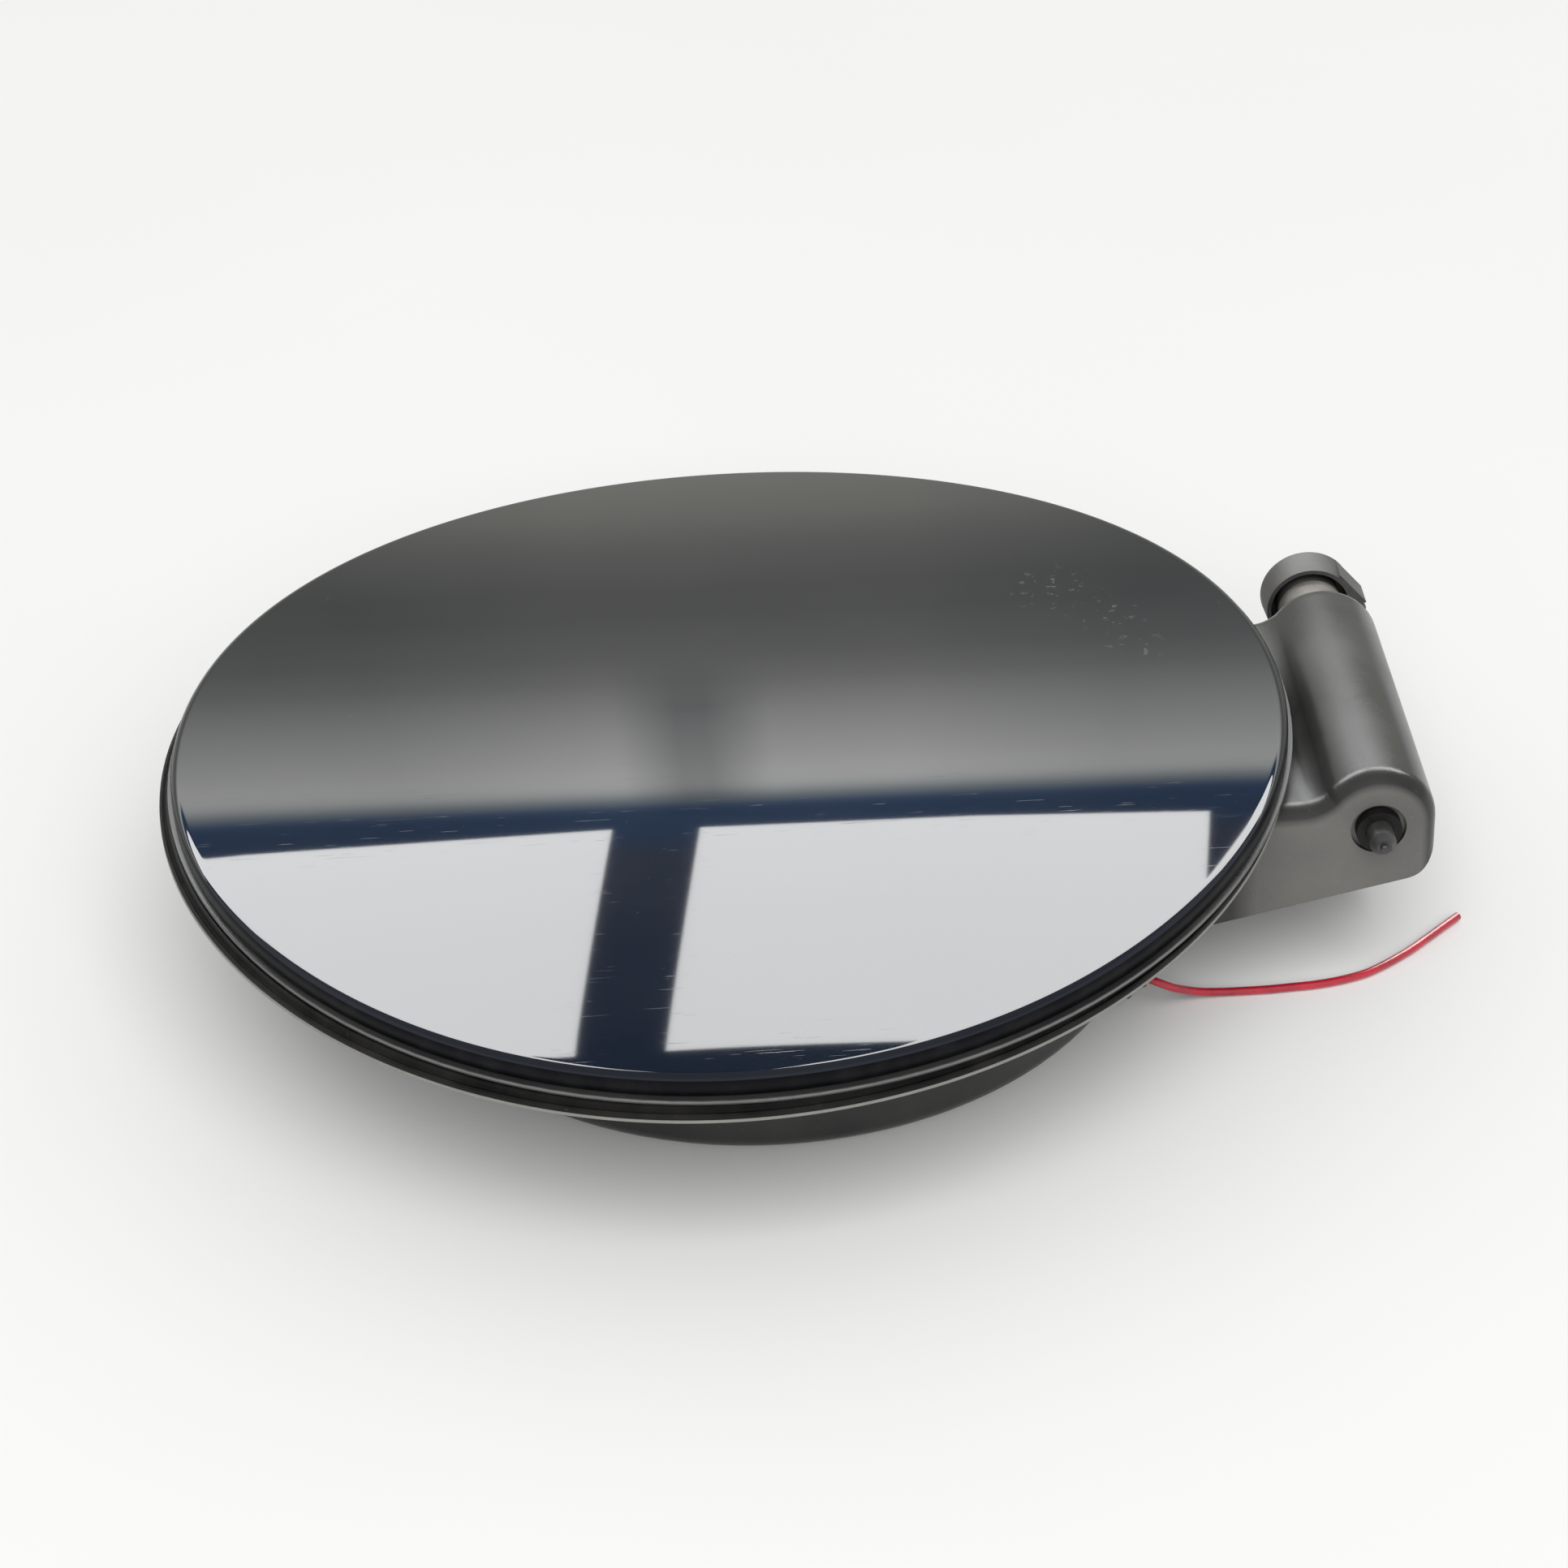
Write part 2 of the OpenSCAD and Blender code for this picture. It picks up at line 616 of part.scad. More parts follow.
module lock_gasket() color([0.1, 0.1, 0.1]) translate([pad_x, 0, lock_z]) rotate([0, 90, 0])
    difference() {
        cylinder(r = lock_d / 2 + 1.95, h = 9.2, $fn = 48);
        translate([0, 0, -1]) cylinder(r = lock_d / 2 + 1.15, h = 9.05, $fn = 48);
        translate([0, 0, -1]) cylinder(r = lock_d / 2 + 0.3, h = 12, $fn = 48);
    }

module drive_screw(s) color([0.6, 0.6, 0.58]) translate([pad_x - 2.5, s * screw_y, lock_z])
    rotate([0, 90, 0]) difference() {
        union() {
            cylinder(r = 1.45, h = 9, $fn = 24);
            translate([0, 0, -2.2]) cylinder(r1 = 2.6, r2 = 3.4, h = 2.2, $fn = 32);
        }
        translate([0, 0, -3]) cylinder(r = 1.3, h = 2, $fn = 6);
    }
module drive_screw_near() drive_screw(-1);
module drive_screw_far() drive_screw(1);

// Switch and its lead

module door_switch() color([0.2, 0.2, 0.21]) round_bowl(switch_at - switch_d / 2 + 1, lead_turn) {
    top = pocket_h - plate_low - rib_h - 5.5;
    difference() {
        union() {
            translate([0, 0, wall]) cylinder(d = switch_d + 3, h = 2.5, $fn = 64);
            translate([0, 0, wall]) cylinder(d = switch_d - 1, h = top - wall - 6, $fn = 64);
            translate([0, 0, top - 8]) cylinder(d = switch_d, h = 6.6, $fn = 64);
            translate([0, 0, top - 1.4]) cylinder(d1 = switch_d, d2 = switch_d - 3, h = 1.4, $fn = 64);
        }
        translate([0, 0, top - 12]) cylinder(r = plunger_d / 2 + fit_gap, h = 14, $fn = 48);
        rotate([0, 90, 0]) translate([-lead_z - 1, 0, 0]) cylinder(d = lead_d + 0.1, h = switch_d, $fn = 32);
    }
}

module switch_plunger() color([0.85, 0.84, 0.8])
    round_bowl(switch_at - switch_d / 2 + 1, lead_turn) {
        top = pocket_h - plate_low - rib_h - 5.5;
        tip = pocket_h - plate_low - 0.5 - bow(20);
        translate([0, 0, top - 8]) cylinder(d = plunger_d, h = tip - top + 8 - 1, $fn = 48);
        translate([0, 0, tip - 1]) cylinder(d1 = plunger_d, d2 = plunger_d - 2, h = 1, $fn = 48);
    }

// Rubber sleeve that takes the lead through the wall
module lead_grommet() color([0.1, 0.1, 0.1]) round_bowl(0, lead_turn)
    translate([bowl_r - 4.6, 0, lead_z + 1]) rotate([0, 90, 0]) difference() {
        union() {
            cylinder(r = 2.55, h = 7, $fn = 32);
            translate([0, 0, 6.15]) cylinder(r = 4, h = 1, $fn = 32);
            translate([0, 0, 7.1]) cylinder(r1 = 2.6, r2 = 1.5, h = 2.4, $fn = 32);
        }
        translate([0, 0, -1]) cylinder(d = lead_d + 0.06, h = 12, $fn = 32);
    }

// The lead: out of the grommet, down to the table and along it to its cut end
lead_radii = [switch_at - 3, switch_at + 1, switch_at + 5, bowl_r - 5, bowl_r - 1, bowl_r + 3, bowl_r + 5.2];
lead_start = [for (r = lead_radii)
    [bowl_shift + r * cos(lead_turn), r * sin(lead_turn), lead_z + 1]];
lead_path = concat(lead_start, [[66.5, -31, 5.3], [68.7, -30.6, 3.9], [71.2, -29.6, 2.4],
    [73.8, -28.8, 1.3], [76.6, -28.5, 0.85], [80, -28.5, 0.75], [84.2, -28.5, 0.75], [88, -28.3, 0.75],
    [92.2, -28, 0.75], [96.2, -27.3, 0.75], [100.4, -26, 0.75], [103.5, -24.3, 0.75],
    [106.4, -22.3, 0.75], [109.5, -19.9, 0.75], [112.7, -17, 0.75], [118.5, -11.7, 0.75]]);

module red_lead() color([0.8, 0.06, 0.1]) wire(lead_path, lead_d, 8, [0, 0, 1]);

// Flap

module flap_skin() color([0.03, 0.04, 0.07]) {
    spans = [for (k = [1:6]) (flap_r - rim_round) * k / 6];
    inner_round = rim_round - skin_t;
    bowed_shell(concat(
        [for (r = spans) [r, 0]],
        [for (a = [18:18:90]) [flap_r - rim_round + rim_round * sin(a), rim_round - rim_round * cos(a)]],
        [[flap_r, rim_h], [flap_r - skin_t, rim_h]],
        [for (a = [90:-30:30]) [flap_r - rim_round + inner_round * sin(a), rim_round - inner_round * cos(a)]],
        [for (k = [5:-1:0]) [spans[k], skin_t]]));
}

// Gooseneck about the hinge axis
module neck_section() {
    difference() {
        circle(neck_out, $fn = 180);
        circle(neck_in, $fn = 180);
        translate([-big, 0]) square([2 * big, big]);
        translate([neck_t / 2, -big]) square([big, big]);
    }
    translate([-neck_out, -0.01]) square([neck_t, pivot_depth - plate_low + 0.6]);
}

module flap_carrier() color([0.1, 0.1, 0.105]) difference() {
    union() {
        bowed_plate(plate_top, plate_low) circle(plate_r, $fn = 180);
        bowed_plate(plate_low - 0.3, hem_low) ring(plate_r, flap_r - 5.5);
        bowed_plate(rim_h + glue_gap, hem_low) ring(flap_r + hem_reach, plate_r - 1);
        bowed_plate(plate_low - 0.3, plate_low + rib_h) {
            ring(rib_outer + rib_t / 2, rib_outer - rib_t / 2);
            ring(rib_inner + rib_t / 2, rib_inner - rib_t / 2);
            for (a = [0, 45, 90, 135, 225, 270, 315]) rotate(a) translate([rib_inner, -rib_t / 2])
                square([rib_outer - rib_inner, rib_t]);
        }
        along_pin(-neck_w / 2, neck_w / 2) neck_section();
        // gussets between the gooseneck and the plate
        for (y = [-neck_w / 2, neck_w / 2 - rib_t]) intersection() {
            along_pin(y, y + rib_t) polygon([[-neck_out + 0.5, pivot_depth - plate_low + 0.5],
                [-neck_out - 18, pivot_depth - plate_low + 0.5], [-neck_out + 0.5, -6]]);
            under_bow(plate_low - 0.3);
        }
        // spoke up to the barrel on the pin
        along_pin(-neck_w / 2, barrel_far) translate([-neck_t / 2, -neck_in - 0.6])
            square([neck_t, neck_in - 2]);
        along_pin(barrel_far - 0.1, neck_w / 2) translate([-neck_t / 2, -neck_in - 0.6])
            square([neck_t, neck_in + 0.6 - spring_r - spring_wire]);
        along_pin(barrel_near, barrel_far) circle(barrel_r, $fn = 96);
        // stem that the striker is riveted to
        striker_stem();
    }
    // hollow back of the gooseneck
    for (s = [-1, 1]) along_pin(s * neck_w / 4 - neck_w / 4 + 1.5, s * neck_w / 4 + neck_w / 4 - 1.5)
        difference() {
            intersection() {
                circle(neck_out + 1, $fn = 180);
                translate([-big, -big]) square([big - 3, big - 2]);
            }
            circle(neck_out - 2.2, $fn = 180);
        }
    on_pin(barrel_near - 1) cylinder(r = bush_r, h = barrel_far - barrel_near + 2, $fn = 64);
    for (k = [1:4]) stud_place(k) translate([0, 0, -1]) cylinder(r = 1.6, h = 12, $fn = 24);
}

module arm_bush(y, l) color([0.8, 0.79, 0.74]) on_pin(y) difference() {
    cylinder(r = bush_r - 0.02, h = l, $fn = 64);
    translate([0, 0, -1]) cylinder(r = pin_r + fit_gap, h = l + 2, $fn = 64);
}
module arm_bush_near() arm_bush(barrel_near, 10);
module arm_bush_far() arm_bush(barrel_far - 10, 10);

// Studs on the skin that hold it down on the carrier, each with its nut
module stud_place(k) {
    a = 45 + 90 * k;
    y = stud_at * sin(a);
    translate([stud_at * cos(a), y, pocket_h - plate_low - bow(y)]) children();
}

module skin_stud(k) color([0.6, 0.6, 0.58]) stud_place(k) {
    translate([0, 0, -2.6]) cylinder(r = 1.55, h = carrier_t + 2.5, $fn = 24);
    translate([0, 0, -0.8]) cylinder(r = 3.4, h = 0.5, $fn = 32);
    translate([0, 0, -2.3]) cylinder(r = 2.9, h = 1.6, $fn = 6);
}
module skin_stud_1() skin_stud(1);
module skin_stud_2() skin_stud(2);
module skin_stud_3() skin_stud(3);
module skin_stud_4() skin_stud(4);

module striker_stem() {
    translate([striker_x + striker_t / 2 + 0.05, -7, pocket_h - plate_low - 5]) cube([3, 14, 5.5]);
}

// Steel strap whose punched window the lock pin enters
module striker() color([0.55, 0.56, 0.58]) {
    top = striker_top;
    window = lock_d + 1.4;
    difference() {
        translate([striker_x - striker_t / 2, -striker_w / 2, striker_low])
            cube([striker_t, striker_w, top - striker_low]);
        translate([striker_x - striker_t, -window / 2, lock_z - window / 2])
            cube([2 * striker_t, window, window]);
        translate([striker_x - striker_t, 0, top - 2.6]) rotate([0, 90, 0])
            cylinder(r = 1.3, h = 2 * striker_t, $fn = 32);
        for (s = [-1, 1]) translate([striker_x - striker_t, s * (striker_w / 2 + 0.2), striker_low - 0.2])
            rotate([45, 0, 0]) translate([0, -2, -2]) cube([2 * striker_t, 4, 4]);
    }
}

module striker_rivet() color([0.65, 0.65, 0.66])
    translate([striker_x - striker_t / 2, 0, striker_top - 2.6]) rotate([0, 90, 0]) {
        cylinder(r = 1.25, h = striker_t, $fn = 32);
        translate([0, 0, -1]) cylinder(r1 = 1.5, r2 = 2.3, h = 1, $fn = 32);
    }

// Clip on the flap's back that holds the filler cap
module cap_holder() color([0.12, 0.12, 0.12]) {
    top = pocket_h - plate_low - glue_gap - bow(14);
    translate([holder_x, 0, 0]) {
        translate([-4, -14, top - 1.8]) cube([8, 28, 1.8]);
        for (s = [-1, 1]) {
            translate([-4, s * 12.9 - 1.1, top - 8]) cube([8, 2.2, 7]);
            translate([-4, s * 11.9 - 1.1, top - 9.6]) cube([8, 3.2, 1.8]);
        }
    }
}

pocket();
rim_seal();
neck_collar();
collar_ring();
near_bush();
far_bush();
hinge_pin();
pin_head();
hinge_spring();
bump_stop_near();
bump_stop_far();
lock_drive();
lock_cover();
lock_pin();
lock_gasket();
drive_screw_near();
drive_screw_far();
door_switch();
switch_plunger();
lead_grommet();
red_lead();
flap_skin();
flap_carrier();
arm_bush_near();
arm_bush_far();
striker();
striker_rivet();
cap_holder();
skin_stud_1();
skin_stud_2();
skin_stud_3();
skin_stud_4();
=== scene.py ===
import math
import bpy
import bmesh
from mathutils import Matrix, Vector


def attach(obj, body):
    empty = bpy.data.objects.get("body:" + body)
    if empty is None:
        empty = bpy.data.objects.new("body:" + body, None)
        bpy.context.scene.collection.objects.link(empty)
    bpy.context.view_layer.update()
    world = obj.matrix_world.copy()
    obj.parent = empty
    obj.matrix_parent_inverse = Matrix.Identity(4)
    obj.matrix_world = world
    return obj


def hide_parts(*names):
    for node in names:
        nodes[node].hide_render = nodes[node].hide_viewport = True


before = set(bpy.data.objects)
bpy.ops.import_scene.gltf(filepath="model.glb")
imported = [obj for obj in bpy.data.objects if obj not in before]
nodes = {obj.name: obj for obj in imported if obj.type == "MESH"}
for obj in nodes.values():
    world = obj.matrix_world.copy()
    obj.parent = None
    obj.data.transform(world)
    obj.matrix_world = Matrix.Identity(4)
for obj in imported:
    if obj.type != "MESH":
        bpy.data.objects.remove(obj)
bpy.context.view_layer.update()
scene = bpy.context.scene
mm = 0.001
print("frame loaded:", len(nodes), "CAD nodes")

# ---- camera, at the photograph's viewing angle

camera = {
    "place": (0.005012, -0.500092, 0.357973),
    "right": (0.998088, -0.038700, -0.048193),
    "up": (0.061543, 0.550052, 0.832860),
    "lens": 83.851,
    "sensor": 36,
    "clip": (0.02, 30),
}


def makeCamera(c):
    data = bpy.data.cameras.new("photoCamera")
    data.lens = c["lens"]
    data.sensor_width = c["sensor"]
    data.clip_start, data.clip_end = c["clip"]
    cam = bpy.data.objects.new("photoCamera", data)
    right, up = Vector(c["right"]).normalized(), Vector(c["up"]).normalized()
    back = right.cross(up)
    cam.matrix_world = Matrix.Translation(c["place"]) @ Matrix((right, up, back)).transposed().to_4x4()
    scene.collection.objects.link(cam)
    scene.camera = cam


makeCamera(camera)

# ---- small helpers for the shader trees


def newMaterial(name):
    mat = bpy.data.materials.new(name)
    mat.use_nodes = True
    return mat, mat.node_tree


def addNode(tree, kind, **values):
    n = tree.nodes.new(kind)
    for key, value in values.items():
        if key in n.inputs:
            n.inputs[key].default_value = value
        else:
            setattr(n, key, value)
    return n


def objectCoords(tree, scale=(1, 1, 1), turn=(0, 0, 0)):
    coord = addNode(tree, "ShaderNodeTexCoord")
    place = addNode(tree, "ShaderNodeMapping")
    place.inputs["Rotation"].default_value = turn
    place.inputs["Scale"].default_value = scale
    tree.links.new(coord.outputs["Object"], place.inputs["Vector"])
    return place.outputs["Vector"]


def noise(tree, coords, size, detail=4.0, rough=0.5):
    n = addNode(tree, "ShaderNodeTexNoise", Detail=detail, Roughness=rough)
    n.inputs["Scale"].default_value = 1 / size  # size of a blotch in metres
    tree.links.new(coords, n.inputs["Vector"])
    return n.outputs["Fac"]


def remap(tree, value, low, high, toLow=0.0, toHigh=1.0):
    n = addNode(tree, "ShaderNodeMapRange", clamp=True)
    n.inputs["From Min"].default_value = low
    n.inputs["From Max"].default_value = high
    n.inputs["To Min"].default_value = toLow
    n.inputs["To Max"].default_value = toHigh
    tree.links.new(value, n.inputs["Value"])
    return n.outputs["Result"]


def maths(tree, what, a, b):
    n = addNode(tree, "ShaderNodeMath", operation=what)
    for slotNumber, value in enumerate((a, b)):
        if isinstance(value, (int, float)):
            n.inputs[slotNumber].default_value = value
        else:
            tree.links.new(value, n.inputs[slotNumber])
    return n.outputs[0]


def mixColour(tree, share, a, b):
    n = addNode(tree, "ShaderNodeMix", data_type="RGBA")
    tree.links.new(share, n.inputs["Factor"])
    for key, value in (("A", a), ("B", b)):
        target = [s for s in n.inputs if s.name == key and s.type == "RGBA"][0]
        if isinstance(value, tuple):
            target.default_value = (*value, 1)
        else:
            tree.links.new(value, target)
    return [s for s in n.outputs if s.type == "RGBA"][0]


def bump(tree, height, depth):
    n = addNode(tree, "ShaderNodeBump")
    n.inputs["Strength"].default_value = 1
    n.inputs["Distance"].default_value = depth
    tree.links.new(height, n.inputs["Height"])
    return n.outputs["Normal"]


# ---- finishes

finishes = {
    # colour, colour of its dust, roughness from and to, size and depth of the grain, size of the blotches,
    # share of dust, metal, how much it mirrors (0.5 where none is given), and where it is painted a lighter
    # grey, partly dust and partly the table's reflection
    "moulding": {"colour": (0.018, 0.018, 0.018), "dust": (0.16, 0.155, 0.145), "rough": (0.21, 0.36),
                 "grain": 0.00035, "depth": 0.000012, "blotch": 0.02, "dusty": 0.07, "metal": 0.0,
                 # painted reflection: the end wall facing -Y is mixed towards a lighter grey, partly dust
                 # and partly the mirrored table
                 "mirror": 0.42, "dustAndSheen": {"from": 0.078, "fade": 0.004, "share": 0.62}},
    "sealRubber": {"colour": (0.004, 0.004, 0.004), "dust": (0.15, 0.145, 0.13), "rough": (0.50, 0.72),
                   "grain": 0.0005, "depth": 0.00002, "blotch": 0.006, "dusty": 0.05, "metal": 0.0,
                   "mirror": 0.15},
    # painted highlight: this light grey, with some dust, stands in for the light caught on the seal lip's
    # outer lower edge
    "dustAndHighlightRubber": {"colour": (0.19, 0.187, 0.175), "dust": (0.26, 0.25, 0.22), "rough": (0.5, 0.7),
                   "grain": 0.0004, "depth": 0.00002, "blotch": 0.004, "dusty": 0.3, "metal": 0.0},
    # painted highlight: a light grey for the bright line along the flap's folded edge
    "highlitHem": {"colour": (0.105, 0.106, 0.108), "dust": (0.2, 0.2, 0.19), "rough": (0.4, 0.55),
                "grain": 0.0004, "depth": 0.00001, "blotch": 0.006, "dusty": 0.2, "metal": 0.0},
    "softRubber": {"colour": (0.018, 0.018, 0.018), "dust": (0.12, 0.115, 0.11), "rough": (0.60, 0.80),
                   "grain": 0.0004, "depth": 0.00002, "blotch": 0.008, "dusty": 0.12, "metal": 0.0},
    "darkNylon": {"colour": (0.035, 0.035, 0.035), "dust": (0.17, 0.16, 0.15), "rough": (0.38, 0.55),
                  "grain": 0.0003, "depth": 0.00001, "blotch": 0.005, "dusty": 0.14, "metal": 0.0},
    # painted shade: a near-black copy of the dark nylon for the near bush, standing in for the shadow in the
    # recess round the pin
    "shadedNylon": {"colour": (0.006, 0.006, 0.006), "dust": (0.12, 0.115, 0.10), "rough": (0.4, 0.6),
                    "grain": 0.0003, "depth": 0.00001, "blotch": 0.003, "dusty": 0.04, "metal": 0.0,
                    "mirror": 0.2},
    "bushNylon": {"colour": (0.13, 0.12, 0.105), "dust": (0.30, 0.28, 0.25), "rough": (0.45, 0.6),
                  "grain": 0.0003, "depth": 0.00001, "blotch": 0.003, "dusty": 0.25, "metal": 0.0},
    "paleNylon": {"colour": (0.62, 0.60, 0.53), "dust": (0.35, 0.33, 0.28), "rough": (0.35, 0.5),
                  "grain": 0.0004, "depth": 0.00001, "blotch": 0.004, "dusty": 0.15, "metal": 0.0},
    "driveCase": {"colour": (0.022, 0.022, 0.024), "dust": (0.13, 0.125, 0.12), "rough": (0.45, 0.6),
                  "grain": 0.0006, "depth": 0.00003, "blotch": 0.01, "dusty": 0.12, "metal": 0.0},
    "zincSteel": {"colour": (0.56, 0.57, 0.59), "dust": (0.30, 0.28, 0.25), "rough": (0.28, 0.45),
                  "grain": 0.0008, "depth": 0.000008, "blotch": 0.004, "dusty": 0.18, "metal": 1.0},
    "pinSteel": {"colour": (0.045, 0.045, 0.046), "dust": (0.12, 0.11, 0.1), "rough": (0.32, 0.5),
                 "grain": 0.0003, "depth": 0.00001, "blotch": 0.002, "dusty": 0.22, "metal": 0.35},
    "springSteel": {"colour": (0.33, 0.33, 0.34), "dust": (0.16, 0.13, 0.1), "rough": (0.25, 0.4),
                    "grain": 0.0005, "depth": 0.000006, "blotch": 0.003, "dusty": 0.2, "metal": 1.0},
    "screwSteel": {"colour": (0.60, 0.59, 0.55), "dust": (0.28, 0.24, 0.18), "rough": (0.25, 0.42),
                   "grain": 0.0004, "depth": 0.000008, "blotch": 0.002, "dusty": 0.25, "metal": 1.0},
}


def dustAndSheenWall(tree, dustAndSheen, blotches):
    # painted reflection: the end wall of the hinge housing is made a lighter grey, past an x and only where
    # the wall faces -Y, partly dust and partly standing in for the bright table it mirrors
    coord = addNode(tree, "ShaderNodeTexCoord")
    place = addNode(tree, "ShaderNodeSeparateXYZ")
    facing = addNode(tree, "ShaderNodeSeparateXYZ")
    tree.links.new(coord.outputs["Object"], place.inputs[0])
    tree.links.new(coord.outputs["Normal"], facing.inputs[0])
    past = remap(tree, place.outputs["X"], dustAndSheen["from"], dustAndSheen["from"] + dustAndSheen["fade"])
    side = remap(tree, facing.outputs["Y"], -0.8, -0.97)
    uneven = remap(tree, blotches, 0.3, 0.7, dustAndSheen["share"] * 0.85, dustAndSheen["share"] * 1.1)
    return maths(tree, "MULTIPLY", maths(tree, "MULTIPLY", past, side), uneven)


def plainFinish(name, look):
    mat, tree = newMaterial(name)
    shader = tree.nodes["Principled BSDF"]
    here = objectCoords(tree)
    blotches = noise(tree, here, look["blotch"], 6)
    grain = noise(tree, here, look["grain"], 2)
    film = maths(tree, "MULTIPLY", remap(tree, blotches, 0.35, 0.75), look["dusty"] * 2)
    specks = remap(tree, noise(tree, here, look["grain"] * 2.5, 3), 0.66, 0.76, 0, look["dusty"] * 2)
    share = maths(tree, "ADD", film, specks)
    if "dustAndSheen" in look:
        share = maths(tree, "ADD", share, dustAndSheenWall(tree, look["dustAndSheen"], blotches))
    tree.links.new(mixColour(tree, share, look["colour"], look["dust"]), shader.inputs["Base Color"])
    low, high = look["rough"]
    tree.links.new(remap(tree, blotches, 0.3, 0.7, low, high), shader.inputs["Roughness"])
    shader.inputs["Metallic"].default_value = look["metal"]
    shader.inputs["Specular IOR Level"].default_value = look.get("mirror", 0.5)
    tree.links.new(bump(tree, grain, look["depth"]), shader.inputs["Normal"])
    return mat


def hairlines(tree, turn, length, width, amount):
    # fine scratches: noise stretched one way and cut to its peaks
    coords = objectCoords(tree, scale=(1 / length, 1 / width, 1 / width), turn=(0, 0, turn))
    n = addNode(tree, "ShaderNodeTexNoise", Detail=2.0, Roughness=0.5)
    n.inputs["Scale"].default_value = 1
    tree.links.new(coords, n.inputs["Vector"])
    return remap(tree, n.outputs["Fac"], 1 - amount, 1.04 - amount)


paint = {
    "colour": (0.0035, 0.0050, 0.0125),
    "dust": (0.24, 0.24, 0.235),
    "coat": 0.022,  # roughness of the clear coat
    "haze": 0.4,  # roughness of the colour coat below it
    "base": 0.0,  # how much the colour coat mirrors by itself
    # how far each of these goes towards the dust's colour
    "film": 0.022, "specks": 0.10, "lineShare": 0.015, "chips": 0.4,
    # scratches, as turn, length, width and amount
    "lines": [(0.06, 0.012, 0.00028, 0.30), (-0.5, 0.010, 0.00025, 0.26), (1.1, 0.009, 0.00025, 0.25)],
    "lineDepth": 0.0000003,
    # scuffs, as x, y and size, and the height they lie at
    "scuffs": [(0.0560, 0.0330, 0.010), (0.0640, 0.0230, 0.008), (0.0675, 0.0120, 0.006)],
    "crown": 0.0420,
    # painted shade: the turned-down edge is near black and barely mirrors, standing in for the dark
    # reflection along it
    "edge": {"colour": (0.0022, 0.0024, 0.0035), "roughness": 0.45, "mirror": 0.12, "dusty": 0.025},
}


def bodyPaint(look):
    mat, tree = newMaterial("bodyPaint")
    shader = tree.nodes["Principled BSDF"]
    here = objectCoords(tree)
    lines = 0
    for line in look["lines"]:
        lines = maths(tree, "MAXIMUM", lines, hairlines(tree, *line))
    film = remap(tree, noise(tree, here, 0.03, 5, 0.6), 0.4, 0.8)
    specks = remap(tree, noise(tree, here, 0.0009, 2), 0.73, 0.80)
    marks = 0
    for x, y, size in look["scuffs"]:
        spot = addNode(tree, "ShaderNodeVectorMath", operation="DISTANCE")
        tree.links.new(here, spot.inputs[0])
        spot.inputs[1].default_value = (x, y, look["crown"])
        marks = maths(tree, "MAXIMUM", marks, remap(tree, spot.outputs["Value"], size, size * 0.3))
    chips = maths(tree, "MULTIPLY", marks, remap(tree, noise(tree, here, 0.0022, 3, 0.7), 0.60, 0.66))
    share = 0
    for amount, full in ((film, "film"), (specks, "specks"), (lines, "lineShare"), (chips, "chips")):
        share = maths(tree, "ADD", share, maths(tree, "MULTIPLY", amount, look[full]))
    tree.links.new(mixColour(tree, share, look["colour"], look["dust"]), shader.inputs["Base Color"])
    shader.inputs["Roughness"].default_value = look["haze"]
    shader.inputs["Specular IOR Level"].default_value = look["base"]
    shader.inputs["Coat Weight"].default_value = 1
    shader.inputs["Coat Roughness"].default_value = look["coat"]
    tree.links.new(bump(tree, lines, look["lineDepth"]), shader.inputs["Coat Normal"])
    return mat


def shadedEdgePaint(look):
    # painted shade: near black paint with no clear coat on the turned-down edge, standing in for the dark
    # reflection there
    mat, tree = newMaterial("shadedEdgePaint")
    shader = tree.nodes["Principled BSDF"]
    here = objectCoords(tree)
    edge = look["edge"]
    share = remap(tree, noise(tree, here, 0.004, 5), 0.45, 0.8, 0, edge["dusty"])
    tree.links.new(mixColour(tree, share, edge["colour"], look["dust"]), shader.inputs["Base Color"])
    shader.inputs["Roughness"].default_value = edge["roughness"]
    shader.inputs["Specular IOR Level"].default_value = edge["mirror"]
    tree.links.new(bump(tree, noise(tree, here, 0.0006, 2), 0.000008), shader.inputs["Normal"])
    return mat


lead = {
    "diameter": 1.4 * mm,
    # where it leaves the grommet, down to the table, along it and up to its cut end
    "route": [(64.508, -30.372, 6.0), (66.5, -31, 5.3), (68.7, -30.6, 3.9), (71.2, -29.6, 2.4),
              (73.8, -28.8, 1.3), (76.6, -28.5, 0.85), (80, -28.5, 0.75), (84.2, -28.5, 0.75),
              (88, -28.3, 0.75), (92.2, -28, 0.75), (96.2, -27.3, 0.75), (100.4, -26, 0.75),
              (103.5, -24.3, 0.75), (106.4, -22.3, 0.75), (109.5, -19.9, 0.75), (112.7, -17, 0.75),
              (118.5, -11.7, 0.75)],
    "inside": [(45.0, -20.43, 6.0), (64.508, -30.372, 6.0)],  # between the switch and the grommet
    "colour": (0.47, 0.010, 0.030),
    "coat": (0.8, 0.2),  # weight and roughness
    "strands": {"ring": 6, "reach": 0.26 * mm, "radius": 0.125 * mm, "proud": 0.02 * mm,
                "deep": 0.5 * mm},  # six round one, just proud of the insulation
    "copper": (0.62, 0.27, 0.14),
    "dullCopper": (0.30, 0.13, 0.08),
}


